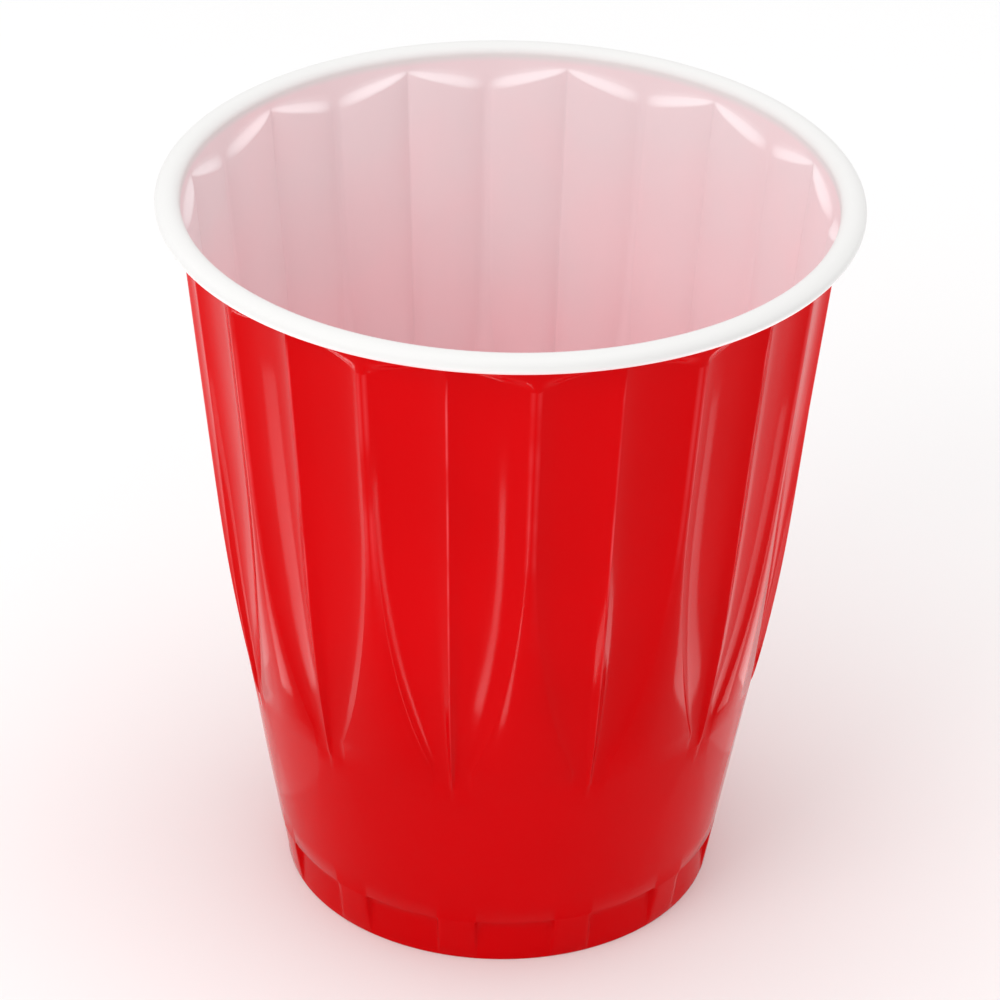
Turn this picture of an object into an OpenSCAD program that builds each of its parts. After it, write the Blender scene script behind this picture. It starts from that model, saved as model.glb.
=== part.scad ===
// Fluted party cup, thermoformed from one sheet that is red outside and white inside.
// The wall is a loft of rings about +Z. The cup stands on z = 0 with its axis on the origin.

/* [Overall] */
// Height over the rolled lip
cup_h = 104; // [92:1:120]
// Diameter over the rolled lip
lip_d = 94; // [90:1:104]
// Diameter of the wall where it meets the table
base_d = 60; // [54:0.2:66]
// Thickness of the sheet
wall = 0.4; // [0.3:0.05:0.7]

/* [Wall] */
// Height at which the steep lower cone gives way to the upright upper wall
bend_h = 50; // [44:1:60]
// Diameter of the wall at the bend
bend_d = 77.2; // [74:0.2:80]
// How far the bend is rounded off
bend_blend = 0.6; // [0.2:0.1:1.2]

/* [Flutes] */
// Number of lancet flutes, each one a pair of scoops with a spine between them
flute_count = 12; // [10:1:16]
// Depth of a scoop below its ridges
flute_depth = 1.1; // [0.4:0.05:1.4]
// How far a spine stands proud of the lower cone
spine_rise = 0.4; // [0.1:0.05:0.6]
// Width of the plain ridge between two flutes
ridge_w = 0.9; // [0.4:0.1:1.6]
// Height of the lancet tips above the table
tip_h = 31.5; // [24:0.5:38]
// Height over which a lancet opens to its full width
lancet_h = 44; // [34:1:50]
// Height of the plain band above the spines
band_h = 3.2; // [3:0.1:5]
// How much lower a scoop ends at its ridge than at its spine
gable_h = 3.2; // [2:0.1:5]
// Height, at the ridge, of the shelf that closes a scoop at the top; it narrows towards the spine
shelf_h = 1.8; // [0.9:0.1:2.2]

/* [Lip] */
// Diameter of the outward curl
roll_d = 3.4; // [2.6:0.1:4.2]

/* [Foot] */
// Height of the recessed foot band
foot_h = 6.6; // [4:0.2:9]
// Depth of the foot band's recesses at their top; they run out to nothing at the table
foot_recess = 0.95; // [0.4:0.05:1.2]
// Width of the pillars that stay between the recesses
pillar_w = 4.7; // [3:0.1:6]
// Height of the step above each recess, and of its slanting ends
foot_step = 0.6; // [0.4:0.1:1]
// Bevel where the foot meets the table
foot_bevel = 0.4; // [0.2:0.1:0.6]
// Width of the ring that the cup stands on
land_w = 2.4; // [2:0.1:3.2]
// Height of the raised floor above the table
kick_h = 4; // [2:0.2:5.6]
// How far the wall of the raised floor leans in
kick_lean = 1.2; // [0.6:0.1:2]

/* [Hidden] */

lip_r = lip_d / 2;
roll_r = roll_d / 2;
base_r = base_d / 2;
bend_r = bend_d / 2;
// Centre of the curl, and the wall's outer face where the curl starts
curl_r = lip_r - roll_r;
curl_z = cup_h - roll_r;
neck_r = curl_r - roll_r + wall;
// Angles of the curl's section: the wall rises into it at 180 and the sheet's edge is tucked under
curl_start = 180;
curl_end = -120;
curl_faces_outside = 10;
curl_faces_inside = 7;
// Half of one flute, from its spine to the middle of its ridge, and the half that the scoop takes
half_pitch = 180 / flute_count;
ridge_half_angle = ridge_w / 2 / neck_r * 180 / PI;
scoop_angle = half_pitch - ridge_half_angle;
pillar_half_angle = pillar_w / 2 / base_r * 180 / PI;
recess_end_angle = foot_step / base_r * 180 / PI;
land_r = base_r - foot_bevel - land_w;
floor_r = land_r - kick_lean;
// Places across a scoop, as shares of the way from its spine to its ridge
across_shares = [0, 0.15, 0.5, 0.85, 1];
// Heights of the rings in a lancet, as shares of its height
lancet_shares = [0, 0.06, 0.16, 0.3, 0.5, 0.72, 1];
// How sharply a scoop's section turns up at its ridges, and how pointed its lancet is
scoop_power = 2.5;
lancet_power = 0.65;
// Height of a shelf at the spine, as a share of its height at the ridge
shelf_spine_share = 0.33;
// Below the tips the columns keep this share of a scoop's width
column_share = 0.3;

// The wall's outer face on a ridge: two straight flanks with a rounded bend between them
function lower_r(z) = base_r + (bend_r - base_r) * z / bend_h;
function upper_r(z) = bend_r + (neck_r - bend_r) * (z - bend_h) / (curl_z - bend_h);
function ridge_r(z) =
    let (a = lower_r(z), b = upper_r(z))
    (a + b - sqrt(pow(a - b, 2) + pow(bend_blend, 2))) / 2;

// How far a lancet has opened at a height: 0 at its tip, 1 where it has its full width
function lancet(z) =
    let (rise = min(1, max(0, (z - tip_h) / lancet_h)))
    sin(90 * pow(rise, lancet_power));

// How far the spine stands proud at a height: most just above the tip, nothing where the lancet is full
function spine(z) =
    let (rise = min(1, max(0, (z - tip_h) / lancet_h)))
    spine_rise * sin(180 * sqrt(rise));

// A scoop's section: 0 on the spine and on the ridge, 1 at its flat bottom
function scoop(across) = 1 - pow(abs(2 * across - 1), scoop_power);

// One node of a ring: angle from the spine, radius and height
function wall_node(across, z, inset) = [
    across * scoop_angle * max(lancet(z), column_share),
    ridge_r(z) - flute_depth * lancet(z) * scoop(across) + (across == 0 ? spine(z) : 0) - inset,
    z
];
function plain_node(angle, r, z) = [angle, r, z];

// Half rings, from the spine to the middle of the ridge
function wall_half(z, inset) = concat(
    [for (across = across_shares) wall_node(across, z, inset)],
    [plain_node(half_pitch, ridge_r(z) - inset, z)]
);
function gable_z(across) = cup_h - band_h - gable_h * across;
function gable_half(inset) = concat(
    [for (across = across_shares) wall_node(across, gable_z(across), inset)],
    [plain_node(half_pitch, ridge_r(gable_z(1)) - inset, gable_z(1))]
);
function shelf_z(across) =
    gable_z(across) + shelf_h * (shelf_spine_share + (1 - shelf_spine_share) * across);
function shelf_half(inset) = concat(
    [for (across = across_shares)
        plain_node(across * scoop_angle, ridge_r(shelf_z(across)) - inset, shelf_z(across))],
    [plain_node(half_pitch, ridge_r(shelf_z(1)) - inset, shelf_z(1))]
);
// A foot ring keeps the wall's radius on the pillar and steps in beside it
function recess(z) = foot_recess * z / foot_h;
function foot_half(z, r, inset) =
    let (
        edge = pillar_half_angle + recess_end_angle,
        angles = [0, pillar_half_angle / 2, pillar_half_angle, edge, (edge + half_pitch) / 2, half_pitch]
    )
    [for (i = [0 : len(angles) - 1])
        plain_node(angles[i], r - inset - (angles[i] > pillar_half_angle ? recess(z) : 0), z)];
function cone_half(z, inset) = [
    for (n = foot_half(z, lower_r(z), inset)) plain_node(n[0], ridge_r(z) - inset, z)
];
function round_half(r, z) = [
    for (i = [0 : len(across_shares)]) plain_node(half_pitch * i / len(across_shares), r, z)
];
function curl_half(r, angle) = round_half(curl_r + r * cos(angle), curl_z + r * sin(angle));

// The section of the sheet, as half rings: up the outside, round the curl, down the inside
lancet_heights = [for (s = lancet_shares) tip_h + s * lancet_h];
curl_inside = [for (i = [0 : curl_faces_inside])
    curl_start + (curl_end - curl_start) * i / curl_faces_inside];
curl_outside = [for (i = [0 : curl_faces_outside])
    curl_end + (curl_start - curl_end) * i / curl_faces_outside];
half_rings = concat(
    [round_half(floor_r, kick_h), round_half(land_r, 0)],
    [foot_half(0, base_r - foot_bevel, 0)],
    [foot_half(foot_bevel, lower_r(foot_bevel), 0), foot_half(foot_h, lower_r(foot_h), 0)],
    [cone_half(foot_h + foot_step, 0)],
    [for (z = lancet_heights) wall_half(z, 0)],
    [gable_half(0), shelf_half(0)],
    [for (a = curl_inside) curl_half(roll_r - wall, a)],
    [for (a = curl_outside) curl_half(roll_r, a)],
    [shelf_half(wall), gable_half(wall)],
    [for (i = [len(lancet_heights) - 1 : -1 : 0]) wall_half(lancet_heights[i], wall)],
    [cone_half(foot_h + foot_step, wall)],
    [foot_half(foot_h, lower_r(foot_h), wall), foot_half(wall, lower_r(wall), wall)],
    [round_half(land_r + wall, wall), round_half(floor_r + wall, kick_h + wall)]
);

// A whole ring: each half is mirrored about its spine and repeated for every flute
function at(angle, n) = [n[1] * cos(angle), n[1] * sin(angle), n[2]];
function whole_ring(half) =
    let (last = len(half) - 1)
    [for (f = [0 : flute_count - 1], i = [-last : last - 1])
        let (n = half[abs(i)])
        at(2 * half_pitch * f + sign(i) * n[0], n)];

module loft(rings) {
    columns = len(rings[0]);
    top = len(rings) - 1;
    function point(ring, column) = ring * columns + column % columns;
    sides = [for (i = [0 : top - 1], j = [0 : columns - 1])
        each [
            [point(i, j), point(i + 1, j), point(i + 1, j + 1)],
            [point(i, j), point(i + 1, j + 1), point(i, j + 1)]
        ]];
    first = [for (j = [0 : columns - 1]) point(0, j)];
    last = [for (j = [columns - 1 : -1 : 0]) point(top, j)];
    polyhedron(points = [for (ring = rings) each ring], faces = concat(sides, [first, last]), convexity = 8);
}

module cup() {
    color("red") loft([for (half = half_rings) whole_ring(half)]);
}

cup();
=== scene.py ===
"""A fluted party cup, formed from one sheet that is red outside and white inside."""

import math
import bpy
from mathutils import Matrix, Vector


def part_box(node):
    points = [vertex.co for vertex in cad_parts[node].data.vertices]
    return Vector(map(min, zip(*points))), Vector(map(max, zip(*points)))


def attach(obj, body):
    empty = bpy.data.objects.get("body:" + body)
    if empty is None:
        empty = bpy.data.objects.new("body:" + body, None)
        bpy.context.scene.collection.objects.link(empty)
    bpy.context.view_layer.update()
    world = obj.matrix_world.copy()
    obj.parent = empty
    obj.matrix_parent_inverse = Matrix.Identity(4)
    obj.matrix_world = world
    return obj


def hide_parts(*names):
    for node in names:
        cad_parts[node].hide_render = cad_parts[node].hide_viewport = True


bl_info = {
    "name": "Fluted Party Cup",
    "version": (1, 0, 0),
    "blender": (4, 5, 0),
    "location": "View3D > Sidebar > Cup",
    "description": "Builds a thermoformed party cup with lancet flutes, and a stage to show it on",
    "category": "Add Mesh",
}

from typing import NamedTuple

import bpy
import numpy as np
from mathutils import Matrix, Vector

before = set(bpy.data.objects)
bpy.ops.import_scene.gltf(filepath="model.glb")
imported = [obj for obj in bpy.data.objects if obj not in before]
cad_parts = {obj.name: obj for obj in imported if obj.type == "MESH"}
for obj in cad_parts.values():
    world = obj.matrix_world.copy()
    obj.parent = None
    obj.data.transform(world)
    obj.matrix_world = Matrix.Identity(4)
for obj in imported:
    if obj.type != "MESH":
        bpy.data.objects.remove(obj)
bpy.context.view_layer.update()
CUP_LOW, CUP_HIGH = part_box("cup")

RED, WHITE = 0, 1

# Places across a scoop, from its spine to its ridge, closest together where the section turns
ACROSS = np.array(
    [0, 0.02, 0.05, 0.1, 0.15, 0.22, 0.3, 0.4, 0.5, 0.6, 0.7, 0.78, 0.85, 0.91, 0.96, 1.0]
)
COLUMNS = len(ACROSS) + 1

# The form's character, in pure numbers that hold at any size
LANCET_POWER = 0.65  # below 1, the lancets open quickly above their tips
SCOOP_POWER = 2.5  # above 2, a scoop is flatter in its middle
SPINE_SHARE = 0.15  # share of a scoop over which the spine's rise fades out
TIP_SHARE = 0.3  # share of a scoop's full angle that its columns keep at the lancet's tip
SHELF_AT_SPINE = 0.33  # a shelf's height at the spine, as a share of its height at the ridge
CURL_END = math.radians(-120)  # where the curl's free edge lies, from its outermost point
TOE_SHARE = 0.2  # how far inside the base the flat ring ends, as a share of the foot's bevel
GUTTER_SHEETS = 3  # height of the inner gutter's rounding, in thicknesses of the sheet
CORNER_SHARE = 0.45  # the most of a section's side that a rounded corner takes up
RIDGE_HIGHLIGHT = 0.4  # strength of a ridge's painted highlight hairline beside a spine's
RIDGE_HIGHLIGHT_POWER = 24  # keeps a ridge's painted highlight hairline to where the lancets are fully open

# How finely each stretch of the sheet is divided
PILLAR_COLUMNS, RECESS_END_COLUMNS = 4, 5
FOOT_RINGS, STEP_RINGS = 6, 4
CONE_RINGS, LANCET_RINGS, STRAIGHT_RINGS, SHELF_RINGS = 8, 34, 5, 6
INNER_CURL_RINGS, OUTER_CURL_RINGS = 18, 30
CORNER_POINTS = 5
LANCET_CROWDING = 1.8  # crowds the rings towards the lancet tips
SHELF_CROWDING = 3  # crowds them under the shelves, whose turn would shade the wall below
BAND_PLACES = (0.35, 0.75)  # rings of the plain band, between the shelves and the curl

# Finish
PLASTIC_IOR = 1.5
RED_SPECULAR = 0.04  # low, because the pale floor would wash out the red
# the point attribute that places the painted crease highlight on the red layer
CREASE_HIGHLIGHT = "crease_highlight"

# Stage
TURN = math.radians(10)  # the stage's turn about the cup, which sets the flutes as in the picture
CUP_MIDDLE = Vector((0, 0, 0.05))
FLOOR_REACH = 4.0
FLOOR_DULL = 0.97
FLOOR_ROUGHNESS = 0.9
STUDIO_GLOW = 0.88
GLINT_HEIGHT = 0.004
GLINT_SPREAD = math.radians(115)

# Camera, fitted to the picture
PICTURE_PX = 1000
FOCAL_PX = 4500.0
SHIFT_X_PX, SHIFT_Y_PX = 4.3, 25.0
SENSOR_MM = 36
CAMERA_ROLL = math.radians(1.21)
CAMERA_ELEVATION = math.radians(31.2)
CAMERA_DISTANCE = 0.6204
CAMERA_AIM_HEIGHT = 0.05202
CLIP_START = 0.01


class Softbox(NamedTuple):
    """A light that faces the cup. Its place is as the camera sees it: right, away, up."""

    name: str
    place: tuple
    size: tuple
    watts: float


class Glint(NamedTuple):
    """A strip just above the floor that faces up and shows as a streak on the flutes."""

    name: str
    place: tuple
    size: tuple
    watts: float
    heading: float


SOFTBOXES = (
    Softbox("left_side", (-0.5, 0.3, 0.4), (0.3, 0.3), 0.2),
    Softbox("right_side", (0.5, 0.3, 0.4), (0.3, 0.3), 0.2),
    Softbox("overhead", (0.0, -0.05, 0.9), (0.7, 0.5), 1.25),
    Softbox("front_key", (-0.30, -0.35, 0.40), (0.3, 0.3), 0.7),
)
GLINTS = (
    Glint("left_glint", (-0.105, -0.004), (0.018, 0.082), 0.0250, 80),
    Glint("left_rear_glint", (-0.090, 0.052), (0.016, 0.086), 0.0065, 46),
    Glint("left_near_glint", (-0.063, -0.002), (0.030, 0.045), 0.0014, 62),
    Glint("front_glint", (-0.0175, -0.099), (0.006, 0.051), 0.0140, -10),
    Glint("right_glint", (0.103, -0.002), (0.022, 0.076), 0.0280, -77),
    Glint("right_rear_glint", (0.087, 0.049), (0.025, 0.085), 0.0150, -45),
    Glint("right_near_glint", (0.067, 0.017), (0.030, 0.045), 0.0017, -48),
)


def length(name, description, default):
    """A size that a user would change, in metres."""
    return bpy.props.FloatProperty(
        name=name, description=description, default=default, min=0, unit="LENGTH", precision=5
    )


def colour(name, description, default):
    """A colour that a user would change."""
    return bpy.props.FloatVectorProperty(
        name=name, description=description, default=default, size=3, min=0, max=1, subtype="COLOR"
    )


class CupSizes(bpy.types.PropertyGroup):
    """Sizes of the formed sheet"""

    height: length("Height", "Height over the rolled lip", CUP_HIGH.z - CUP_LOW.z)
    lip: length("Lip", "Diameter over the rolled lip", CUP_HIGH.x - CUP_LOW.x)
    base: length("Base", "Diameter of the wall at the table", 0.060)
    sheet: length("Sheet", "Thickness of the sheet", 0.0004)
    bend_height: length("Bend height", "Height where the lower cone meets the upper wall", 0.050)
    bend: length("Bend", "Diameter of the wall at the bend", 0.0772)
    bend_blend: length("Bend blend", "How far the bend is rounded off", 0.0006)
    flute_depth: length("Flute depth", "Depth of a scoop below its ridges", 0.0011)
    spine_rise: length("Spine rise", "How far a spine stands proud of the lower cone", 0.0004)
    ridge: length("Ridge", "Width of the plain ridge between two flutes", 0.0009)
    tip_height: length("Tip height", "Height of the lancet tips", 0.0315)
    lancet_height: length("Lancet height", "Height over which a lancet opens", 0.044)
    band: length("Band", "Height of the plain band above the spines", 0.0032)
    gable: length("Gable", "How much lower a scoop ends at its ridge than at its spine", 0.0032)
    shelf: length("Shelf", "Height, at the ridge, of the shelf that closes a scoop", 0.0018)
    roll: length("Roll", "Width of the lip's outward curl", 0.0034)
    roll_height: length("Roll height", "Height of the lip's curl, which is flattened", 0.0025)
    foot_height: length("Foot height", "Height of the recessed foot band", 0.0066)
    foot_recess: length("Foot recess", "Depth of the foot's recesses at their top", 0.00095)
    foot_step: length("Foot step", "Height of the step above each recess", 0.0006)
    foot_bevel: length("Foot bevel", "Rounding where the foot meets the table", 0.0004)
    pillar: length("Pillar", "Width of the pillars between the recesses", 0.0047)
    land: length("Land", "Width of the ring that the cup stands on", 0.0024)
    kick: length("Kick", "Height of the raised floor above the table", 0.004)
    kick_lean: length("Kick lean", "How far the raised floor's wall leans in", 0.0012)
    flutes: bpy.props.IntProperty(
        name="Flutes", description="Number of lancet flutes", default=12, min=3
    )


class CupColours(bpy.types.PropertyGroup):
    """Colours of the sheet's two layers and of the stage"""

    red: colour("Red", "Outer layer", (0.61, 0.0005, 0.0020))
    red_deep: colour("Deep red", "Outer layer where it is thicker", (0.57, 0.0004, 0.0015))
    # painted highlight: the lighter red of the hairlines that stand for light caught along the
    # spines and ridges
    crease_highlight: colour("Crease highlight", "Hairline along the spines and ridges", (0.85, 0.10, 0.11))
    white: colour("White", "Inner layer on the lip", (0.77, 0.764, 0.754))
    blush_high: colour("Upper blush", "Inner layer under the lip", (0.87, 0.735, 0.752))
    blush_low: colour("Lower blush", "Inner layer towards the floor", (0.98, 0.685, 0.712))
    floor: colour("Floor", "Floor and backdrop", (0.93, 0.93, 0.93))


def smooth(t):
    """Goes from 0 to 1 with a level start and end."""
    return t * t * (3 - 2 * t)


def steps_to_end(count):
    """Even steps that end at 1 and leave out 0."""
    return np.linspace(0, 1, count + 1)[1:]


class CupForm:
    """The sheet's shape: the radius of its outer face at any height and place across a flute."""

    def __init__(self, sizes):
        self.s = sizes
        self.base_r = sizes.base / 2
        self.bend_r = sizes.bend / 2
        self.roll_r = sizes.roll / 2
        self.curl_r = sizes.lip / 2 - self.roll_r
        self.curl_z = sizes.height - self.roll_r
        self.flatten = sizes.roll_height / sizes.roll
        self.lip_z = sizes.height - self.roll_r * self.flatten
        self.neck_r = self.curl_r - self.roll_r + sizes.sheet
        self.half_pitch = math.pi / sizes.flutes
        self.scoop_angle = self.half_pitch - sizes.ridge / 2 / self.neck_r
        self.pillar_angle = sizes.pillar / 2 / self.base_r
        self.recess_end = self.pillar_angle + sizes.foot_step / self.base_r
        self.land_r = self.base_r - sizes.foot_bevel - sizes.land
        self.floor_r = self.land_r - sizes.kick_lean
        self.gutter_z = GUTTER_SHEETS * sizes.sheet
        self.step_top = sizes.foot_height + sizes.foot_step
        self.plain_angles = np.append(ACROSS * self.scoop_angle, self.half_pitch)
        self.foot_angles = self._foot_angles()

    def _foot_angles(self):
        """A foot ring's columns: few on the pillar, many where the recess ends, the rest beside."""
        on_pillar = np.linspace(0, self.pillar_angle, PILLAR_COLUMNS, endpoint=False)
        on_end = np.linspace(
            self.pillar_angle, self.recess_end, RECESS_END_COLUMNS, endpoint=False
        )
        left_over = COLUMNS - PILLAR_COLUMNS - RECESS_END_COLUMNS
        beside = np.linspace(self.recess_end, self.half_pitch, left_over)
        return np.concatenate([on_pillar, on_end, beside])

    def lower_r(self, z):
        """The lower cone."""
        return self.base_r + (self.bend_r - self.base_r) * z / self.s.bend_height

    def ridge_r(self, z):
        """Two straight flanks with a rounded bend between them."""
        a = self.lower_r(z)
        run = self.curl_z - self.s.bend_height
        b = self.bend_r + (self.neck_r - self.bend_r) * (z - self.s.bend_height) / run
        return (a + b - np.sqrt((a - b) ** 2 + self.s.bend_blend**2)) / 2

    def rise(self, z):
        """The share of a lancet's height that lies below z."""
        return np.clip((z - self.s.tip_height) / self.s.lancet_height, 0, 1)

    def lancet(self, z):
        """How far a lancet has opened: 0 at its tip, 1 at its full width."""
        return np.sin(np.pi / 2 * self.rise(z) ** LANCET_POWER)

    def wall(self, z, inset):
        """A half ring on the wall. z is one height, or one for each column."""
        z = np.broadcast_to(np.asarray(z, float), (COLUMNS,))
        zs = z[:-1]
        opened = self.lancet(zs)
        spine = self.s.spine_rise * np.sin(np.pi * np.sqrt(self.rise(zs)))
        scoop = 1 - np.abs(2 * ACROSS - 1) ** SCOOP_POWER
        r = self.ridge_r(zs) - self.s.flute_depth * opened * scoop
        r = r + spine * np.clip(1 - ACROSS / SPINE_SHARE, 0, 1)
        angles = ACROSS * self.scoop_angle * np.maximum(opened, TIP_SHARE)
        angles = np.append(angles, self.half_pitch)
        return self.ring(angles, np.append(r, self.ridge_r(z[-1])) - inset, z)

    def ring(self, angles, r, z):
        """A half ring as rows of angle, radius and height."""
        shape = angles.shape
        return np.stack([angles, np.broadcast_to(r, shape), np.broadcast_to(z, shape)], axis=1)

    def foot(self, z, r, share, inset):
        """A half ring of the foot band. share is how much of the recess it has."""
        past_pillar = self.foot_angles - self.pillar_angle
        t = np.clip(past_pillar / (self.recess_end - self.pillar_angle), 0, 1)
        return self.ring(self.foot_angles, r - self.s.foot_recess * share * smooth(t) - inset, z)


def rounded(points, radius):
    """A section line whose inner corners are rounded off."""
    points = [np.array(p, float) for p in points]
    line = [points[0]]
    for before, corner, after in zip(points, points[1:], points[2:]):
        back, on = before - corner, after - corner
        back_length, on_length = np.linalg.norm(back), np.linalg.norm(on)
        reach = min(radius, back_length * CORNER_SHARE, on_length * CORNER_SHARE)
        start = corner + back / back_length * reach
        end = corner + on / on_length * reach
        for t in np.linspace(0, 1, CORNER_POINTS):
            line.append((1 - t) ** 2 * start + 2 * t * (1 - t) * corner + t * t * end)
    line.append(points[-1])
    return line


def wall_rings(form, inset):
    """Half rings of the wall from the top of the foot's step to the start of the curl."""
    s = form.s
    rings = []
    tip = form.wall(s.tip_height, inset)
    for t in np.linspace(0, 1, CONE_RINGS, endpoint=False):
        z = form.step_top + t * (s.tip_height - form.step_top)
        angles = form.foot_angles * (1 - smooth(t)) + tip[:, 0] * smooth(t)
        rings.append(form.ring(angles, form.ridge_r(z) - inset, z))
    for t in np.linspace(0, 1, LANCET_RINGS):
        rings.append(form.wall(s.tip_height + s.lancet_height * t**LANCET_CROWDING, inset))
    full = s.tip_height + s.lancet_height
    across = np.append(ACROSS, 1.0)
    gable = s.height - s.band - s.gable * across
    shelf = s.shelf * (SHELF_AT_SPINE + (1 - SHELF_AT_SPINE) * across)
    for t in steps_to_end(STRAIGHT_RINGS):
        crowded = 1 - (1 - t) ** SHELF_CROWDING
        rings.append(form.wall(full + crowded * (gable - full), inset))
    for t in steps_to_end(SHELF_RINGS):
        scooped = form.wall(gable + t * shelf, inset)
        plain = form.ridge_r(scooped[:, 2]) - inset
        r = scooped[:, 1] * (1 - smooth(t)) + plain * smooth(t)
        rings.append(form.ring(scooped[:, 0], r, scooped[:, 2]))
    top = gable + shelf
    for t in BAND_PLACES:
        z = top + t * (form.curl_z - top)
        rings.append(form.ring(form.plain_angles, form.ridge_r(z) - inset, z))
    return rings


def foot_rings(form, start, inset):
    """Half rings of the foot band, from a start above the table to the top of its step."""
    s = form.s
    rings = []
    for z in np.linspace(start, s.foot_height, FOOT_RINGS):
        rings.append(form.foot(z, form.lower_r(z), z / s.foot_height, inset))
    for t in steps_to_end(STEP_RINGS + 1)[:-1]:
        z = s.foot_height + t * s.foot_step
        rings.append(form.foot(z, form.lower_r(z), 1 - smooth(t), inset))
    return rings


def curl_rings(form, radius, angles):
    """Rings round the lip's curl, whose section is a little flattened."""
    rings = []
    for a in angles:
        z = form.lip_z + radius * form.flatten * math.sin(a)
        rings.append(form.ring(form.plain_angles, form.curl_r + radius * math.cos(a), z))
    return rings


def floor_rings(form, line):
    """Plain rings from a section line of the foot and the raised floor."""
    return [form.ring(form.foot_angles, r, z) for r, z in line]


def section_rings(form):
    """The sheet's section as half rings: up the red face, round the curl, down the white face."""
    s = form.s
    under = rounded(
        [
            (form.floor_r / 2, s.kick),
            (form.floor_r, s.kick),
            (form.land_r, 0),
            (form.base_r - s.foot_bevel * TOE_SHARE, 0),
            (form.lower_r(s.foot_bevel), s.foot_bevel),
        ],
        s.foot_bevel,
    )[:-1]
    gutter = rounded(
        [
            (form.lower_r(form.gutter_z) - s.sheet, form.gutter_z),
            (form.base_r - s.sheet, s.sheet),
            (form.land_r + s.sheet, s.sheet),
            (form.floor_r + s.sheet, s.kick + s.sheet),
            (form.floor_r / 2, s.kick + s.sheet),
        ],
        s.foot_bevel,
    )[1:]
    inner_curl = np.linspace(math.pi, CURL_END, INNER_CURL_RINGS)
    outer_curl = np.linspace(CURL_END, math.pi, OUTER_CURL_RINGS)
    red = floor_rings(form, under)
    red += foot_rings(form, s.foot_bevel, 0)
    red += wall_rings(form, 0)
    red += curl_rings(form, form.roll_r - s.sheet, inner_curl)
    white = curl_rings(form, form.roll_r, outer_curl)
    white += wall_rings(form, s.sheet)[::-1]
    white += foot_rings(form, form.gutter_z, s.sheet)[::-1]
    white += floor_rings(form, gutter)
    return red, white


def whole_ring(half, flutes):
    """Mirrors a half ring about its spine and repeats it round the cup."""
    angles = np.concatenate([-half[:0:-1, 0], half[:-1, 0]])
    rest = np.concatenate([half[:0:-1, 1:], half[:-1, 1:]])
    spines = np.arange(flutes) * 2 * math.pi / flutes
    turns = np.repeat(spines, len(angles)) + np.tile(angles, flutes)
    r, z = np.tile(rest, (flutes, 1)).T
    return np.stack([r * np.cos(turns), r * np.sin(turns), z], axis=1)


def crease_highlight_weights(form, rings):
    """How strongly each point takes the painted highlight: the spines and, more weakly, the ridges'
    edges.
    """
    s = form.s
    last = len(ACROSS)
    column = np.tile(np.concatenate([np.arange(last, 0, -1), np.arange(last)]), s.flutes)
    on_spine, on_ridge = column == 0, column == last - 1
    highlight_weights = []
    for ring in rings:
        z = ring[:, 2]
        opened = form.lancet(z)
        highlighted = on_spine * opened + RIDGE_HIGHLIGHT * on_ridge * opened**RIDGE_HIGHLIGHT_POWER
        highlight_weights.append(highlighted * (z < s.height - s.band - s.gable))
    return np.concatenate(highlight_weights)


def sheet_mesh(sizes):
    """The formed sheet as one closed mesh, each face in the layer that it belongs to."""
    form = CupForm(sizes)
    red, white = section_rings(form)
    rings = [whole_ring(half, sizes.flutes) for half in red + white]
    columns = len(rings[0])
    points = np.concatenate(rings)
    faces = []
    layers = []
    j = np.arange(columns)
    k = (j + 1) % columns
    for i in range(len(rings) - 1):
        a, b = i * columns, (i + 1) * columns
        faces.append(np.stack([a + j, a + k, b + k, b + j], axis=1))
        layers.append(np.full(columns, RED if i < len(red) - 1 else WHITE))
    faces = np.concatenate(faces).tolist()
    layers = np.concatenate(layers).tolist()
    middle_under, middle_floor = len(points), len(points) + 1
    points = np.vstack([points, (0, 0, sizes.kick), (0, 0, sizes.kick + sizes.sheet)])
    last = (len(rings) - 1) * columns
    for one, two in zip(j.tolist(), k.tolist()):
        faces.append([middle_under, two, one])
        layers.append(RED)
        faces.append([middle_floor, last + one, last + two])
        layers.append(WHITE)
    mesh = bpy.data.meshes.new("cup_sheet")
    mesh.from_pydata(points.tolist(), [], faces)
    mesh.polygons.foreach_set("material_index", layers)
    mesh.polygons.foreach_set("use_smooth", [True] * len(faces))
    if mesh.validate():
        raise RuntimeError("the sheet's mesh has bad faces")
    # weights of the painted crease highlight; the two middle points take none
    highlight_weights = np.append(crease_highlight_weights(form, rings), (0.0, 0.0))
    mesh.attributes.new(CREASE_HIGHLIGHT, "FLOAT", "POINT").data.foreach_set("value", highlight_weights)
    mesh.update()
    return mesh


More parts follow.
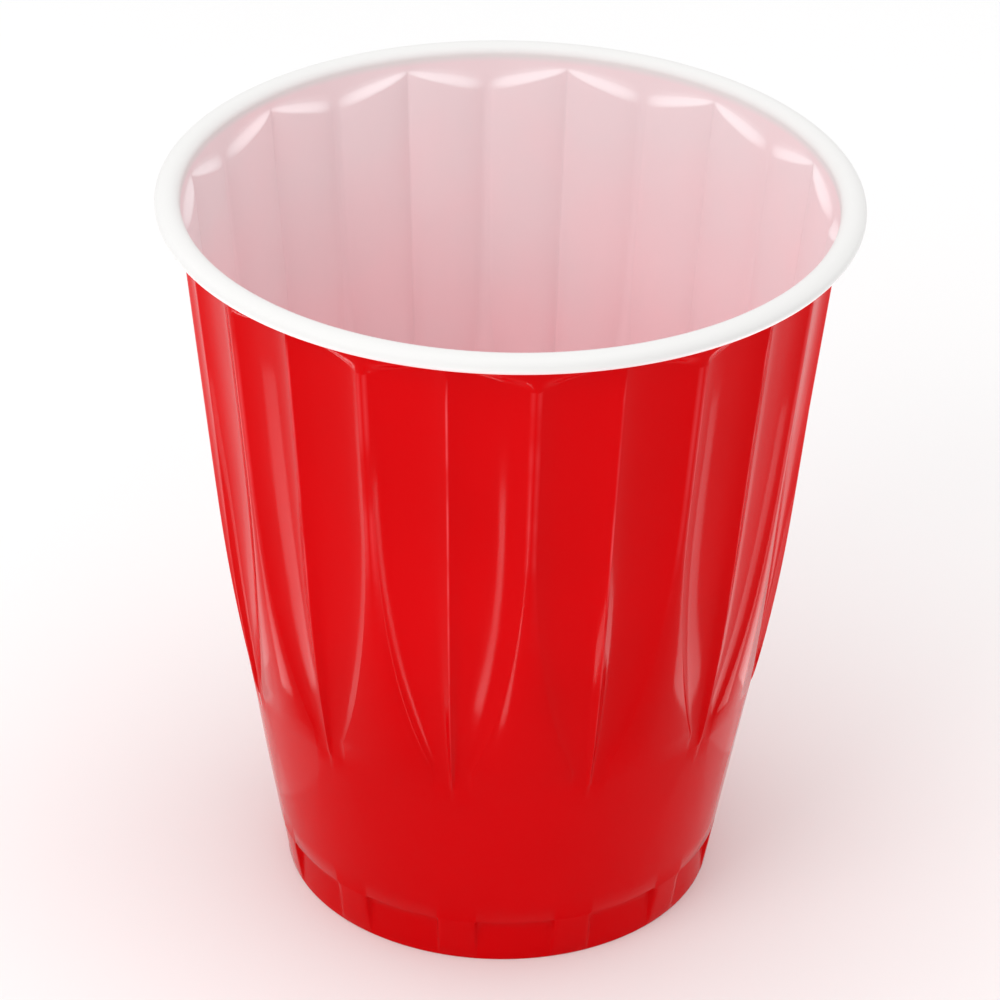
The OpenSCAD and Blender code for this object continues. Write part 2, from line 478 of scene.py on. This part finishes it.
class Nodes:
    """Short calls to build a material's node tree."""

    def __init__(self, name):
        self.material = bpy.data.materials.new(name)
        self.material.use_nodes = True
        self.tree = self.material.node_tree
        self.shader = self.tree.nodes["Principled BSDF"]

    def add(self, kind, **values):
        node = self.tree.nodes.new(kind)
        for key, value in values.items():
            setattr(node, key, value)
        return node

    def link(self, output, socket):
        self.tree.links.new(output, socket)

    def feed(self, name, output):
        """Links an output to one of the shader's sockets."""
        self.link(output, self.shader.inputs[name])

    def place(self):
        """Places on the object, in metres."""
        return self.add("ShaderNodeTexCoord").outputs["Object"]

    def noise(self, place, scale, detail):
        node = self.add("ShaderNodeTexNoise")
        node.inputs["Scale"].default_value = scale
        node.inputs["Detail"].default_value = detail
        self.link(place, node.inputs["Vector"])
        return node.outputs["Fac"]

    def ramp(self, source, stops):
        """Colours or greys at stops along a source."""
        node = self.add("ShaderNodeValToRGB")
        elements = node.color_ramp.elements
        while len(elements) < len(stops):
            elements.new(0.5)
        for element, (at, value) in zip(elements, stops):
            element.position = at
            element.color = (*value, 1) if isinstance(value, tuple) else (value, value, value, 1)
        self.link(source, node.inputs["Fac"])
        return node.outputs["Color"]

    def mix(self, factor, colour, other):
        """Blends from a colour socket to a plain colour."""
        node = self.add("ShaderNodeMix", data_type="RGBA")
        sockets = {socket.identifier: socket for socket in node.inputs}
        self.link(factor, sockets["Factor_Float"])
        self.link(colour, sockets["A_Color"])
        sockets["B_Color"].default_value = (*other, 1)
        return next(socket for socket in node.outputs if socket.type == "RGBA")

    def span(self, source, of, onto):
        """Maps one range of a source onto another range."""
        node = self.add("ShaderNodeMapRange")
        names = ("From Min", "From Max", "To Min", "To Max")
        for name, value in zip(names, (*of, *onto)):
            node.inputs[name].default_value = value
        self.link(source, node.inputs["Value"])
        return node.outputs["Result"]

    def join(self, operation, one, two):
        """Adds or multiplies two outputs."""
        node = self.add("ShaderNodeMath", operation=operation)
        self.link(one, node.inputs[0])
        self.link(two, node.inputs[1])
        return node.outputs["Value"]

    def bump(self, height, strength, distance, normal=None):
        node = self.add("ShaderNodeBump")
        node.inputs["Strength"].default_value = strength
        node.inputs["Distance"].default_value = distance
        self.link(height, node.inputs["Height"])
        if normal is not None:
            self.link(normal, node.inputs["Normal"])
        return node.outputs["Normal"]


def ripple(nodes, place):
    """The slight ripple of a formed sheet."""
    waves = nodes.noise(place, scale=180, detail=2)
    return nodes.bump(waves, strength=0.03, distance=0.0004)


def specks(nodes, place, normal):
    """A few small raised specks on the glossy side."""
    cells = nodes.add("ShaderNodeTexVoronoi", feature="F1")
    cells.inputs["Scale"].default_value = 260
    nodes.link(place, cells.inputs["Vector"])
    chosen = nodes.ramp(cells.outputs["Color"], [(0.0, 0.0), (0.985, 0.0), (0.99, 1.0)])
    dot = nodes.span(cells.outputs["Distance"], of=(0.0, 0.12), onto=(1.0, 0.0))
    speck = nodes.join("MULTIPLY", chosen, dot)
    return nodes.bump(speck, strength=0.3, distance=0.0002, normal=normal)


def red_layer(colours):
    """The glossy outside: its tint drifts a little, and broken hairlines of painted highlight
    follow the spines and ridges.
    """
    nodes = Nodes("glossy_red_layer")
    place = nodes.place()
    drift = nodes.noise(place, scale=34, detail=3)
    tint = nodes.ramp(drift, [(0.3, tuple(colours.red_deep)), (0.68, tuple(colours.red))])
    # painted highlight along the spines and ridges, broken up by noise
    crease_highlight = nodes.add("ShaderNodeAttribute", attribute_name=CREASE_HIGHLIGHT).outputs["Fac"]
    highlight_breaks = nodes.noise(place, scale=90, detail=2)
    painted_hairline = nodes.join(
        "MULTIPLY", crease_highlight, nodes.span(highlight_breaks, of=(0.35, 0.65), onto=(0.1, 0.75))
    )
    polish = nodes.noise(place, scale=70, detail=1)
    # the base colour takes the painted highlight where the hairline weights are high
    nodes.feed("Base Color", nodes.mix(painted_hairline, tint, tuple(colours.crease_highlight)))
    nodes.feed("Roughness", nodes.span(polish, of=(0.25, 0.75), onto=(0.08, 0.13)))
    nodes.feed("Normal", specks(nodes, place, ripple(nodes, place)))
    nodes.shader.inputs["IOR"].default_value = PLASTIC_IOR
    nodes.shader.inputs["Specular IOR Level"].default_value = RED_SPECULAR
    return nodes.material


def white_layer(colours, height):
    """The satin inside: white on the lip, with a blush below it where the red shows through."""
    nodes = Nodes("white_inner_layer")
    place = nodes.place()
    split = nodes.add("ShaderNodeSeparateXYZ")
    nodes.link(place, split.inputs["Vector"])
    level = nodes.span(split.outputs["Z"], of=(0.0, height), onto=(0.0, 1.0))
    patches = nodes.noise(place, scale=38, detail=3)
    uneven = nodes.join("ADD", level, nodes.span(patches, of=(0.3, 0.7), onto=(-0.16, 0.16)))
    low, high = tuple(colours.blush_low), tuple(colours.blush_high)
    blush = nodes.ramp(uneven, [(0.5, low), (0.955, high)])
    on_lip = nodes.span(level, of=(0.979, 0.987), onto=(0.0, 1.0))
    polish = nodes.noise(place, scale=60, detail=1)
    nodes.feed("Base Color", nodes.mix(on_lip, blush, tuple(colours.white)))
    nodes.feed("Roughness", nodes.span(polish, of=(0.25, 0.75), onto=(0.46, 0.54)))
    nodes.feed("Normal", ripple(nodes, place))
    nodes.shader.inputs["IOR"].default_value = PLASTIC_IOR
    return nodes.material


def floor_finish(colours):
    """A pale matt floor with faint, wide patches."""
    nodes = Nodes("pale_floor")
    pale = tuple(colours.floor)
    dull = tuple(FLOOR_DULL * c for c in pale)
    patches = nodes.noise(nodes.place(), scale=3, detail=2)
    nodes.feed("Base Color", nodes.ramp(patches, [(0.3, dull), (0.7, pale)]))
    nodes.shader.inputs["Roughness"].default_value = FLOOR_ROUGHNESS
    return nodes.material


class CUP_OT_sheet(bpy.types.Operator):
    """Form the cup from its two-layer sheet"""

    bl_idname = "cup.sheet"
    bl_label = "Cup"

    def execute(self, context):
        sizes = context.scene.cup_sizes
        colours = context.scene.cup_colours
        cup = bpy.data.objects.new("cup_sheet", sheet_mesh(sizes))
        context.scene.collection.objects.link(cup)
        cup.data.materials.append(red_layer(colours))
        cup.data.materials.append(white_layer(colours, sizes.height))
        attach(cup, "root")
        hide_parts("cup")
        return {"FINISHED"}


def turned(angle):
    """A turn about the cup's axis."""
    return Matrix.Rotation(angle, 4, "Z")


def camera_matrix():
    """The camera's place and axes: aimed at the cup, then panned, tilted and rolled a little."""
    rise, run = math.sin(CAMERA_ELEVATION), math.cos(CAMERA_ELEVATION)
    right, up, ahead = Vector((1, 0, 0)), Vector((0, rise, run)), Vector((0, run, -rise))
    place = Vector((0, 0, CAMERA_AIM_HEIGHT)) - ahead * CAMERA_DISTANCE
    pan, tilt = math.atan2(SHIFT_X_PX, FOCAL_PX), math.atan2(SHIFT_Y_PX, FOCAL_PX)
    right, ahead = (
        right * math.cos(pan) + ahead * math.sin(pan),
        ahead * math.cos(pan) - right * math.sin(pan),
    )
    up, ahead = (
        up * math.cos(tilt) - ahead * math.sin(tilt),
        ahead * math.cos(tilt) + up * math.sin(tilt),
    )
    right, up = (
        right * math.cos(CAMERA_ROLL) + up * math.sin(CAMERA_ROLL),
        up * math.cos(CAMERA_ROLL) - right * math.sin(CAMERA_ROLL),
    )
    axes = Matrix((right, up, -ahead)).transposed().to_4x4()
    return turned(TURN) @ Matrix.Translation(place) @ axes


class CUP_OT_stage(bpy.types.Operator):
    """Set the floor, the lights and the camera"""

    bl_idname = "cup.stage"
    bl_label = "Stage"

    def execute(self, context):
        scene = context.scene
        self.floor(scene)
        for box in SOFTBOXES:
            place = turned(TURN) @ Vector(box.place)
            aim = (CUP_MIDDLE - place).to_track_quat("-Z", "Y").to_matrix().to_4x4()
            self.light(scene, box, place, aim)
        for glint in GLINTS:
            place = turned(TURN) @ Vector((*glint.place, GLINT_HEIGHT))
            face_up = Matrix.Rotation(math.pi, 4, "X")
            aim = turned(TURN + math.radians(glint.heading)) @ face_up
            self.light(scene, glint, place, aim).spread = GLINT_SPREAD
        self.studio(scene)
        self.camera(scene)
        scene.view_settings.view_transform = "Standard"
        return {"FINISHED"}

    def floor(self, scene):
        reach = FLOOR_REACH
        corners = [(-reach, -reach, 0), (reach, -reach, 0), (reach, reach, 0), (-reach, reach, 0)]
        mesh = bpy.data.meshes.new("floor")
        mesh.from_pydata(corners, [], [(0, 1, 2, 3)])
        mesh.materials.append(floor_finish(scene.cup_colours))
        floor = bpy.data.objects.new("floor", mesh)
        scene.collection.objects.link(floor)

    def light(self, scene, kind, place, aim):
        """A rectangular light that the camera doesn't see."""
        lamp = bpy.data.lights.new(kind.name, "AREA")
        lamp.shape = "RECTANGLE"
        lamp.size, lamp.size_y = kind.size
        lamp.energy = kind.watts
        light = bpy.data.objects.new(kind.name, lamp)
        light.matrix_world = Matrix.Translation(place) @ aim
        light.visible_camera = False
        scene.collection.objects.link(light)
        return lamp

    def studio(self, scene):
        """An even white glow from all round."""
        world = bpy.data.worlds.new("studio")
        world.use_nodes = True
        background = world.node_tree.nodes["Background"]
        background.inputs["Color"].default_value = (1, 1, 1, 1)
        background.inputs["Strength"].default_value = STUDIO_GLOW
        scene.world = world

    def camera(self, scene):
        camera = bpy.data.objects.new("camera", bpy.data.cameras.new("camera"))
        camera.data.sensor_width = SENSOR_MM
        camera.data.lens = SENSOR_MM * FOCAL_PX / PICTURE_PX
        camera.data.clip_start = CLIP_START
        camera.matrix_world = camera_matrix()
        scene.collection.objects.link(camera)
        scene.camera = camera


class CUP_PT_panel(bpy.types.Panel):
    """Cup and stage"""

    bl_idname = "CUP_PT_panel"
    bl_label = "Fluted Party Cup"
    bl_space_type = "VIEW_3D"
    bl_region_type = "UI"
    bl_category = "Cup"

    def draw(self, context):
        layout = self.layout
        for group in (context.scene.cup_sizes, context.scene.cup_colours):
            box = layout.box()
            for key in group.bl_rna.properties.keys():
                if key not in {"rna_type", "name"}:
                    box.prop(group, key)
        layout.operator(CUP_OT_sheet.bl_idname)
        layout.operator(CUP_OT_stage.bl_idname)


CLASSES = (CupSizes, CupColours, CUP_OT_sheet, CUP_OT_stage, CUP_PT_panel)


def register():
    for cls in CLASSES:
        bpy.utils.register_class(cls)
    bpy.types.Scene.cup_sizes = bpy.props.PointerProperty(type=CupSizes)
    bpy.types.Scene.cup_colours = bpy.props.PointerProperty(type=CupColours)


def unregister():
    del bpy.types.Scene.cup_colours
    del bpy.types.Scene.cup_sizes
    for cls in reversed(CLASSES):
        bpy.utils.unregister_class(cls)


def main():
    register()
    bpy.ops.cup.sheet()
    bpy.ops.cup.stage()


if __name__ == "__main__":
    main()
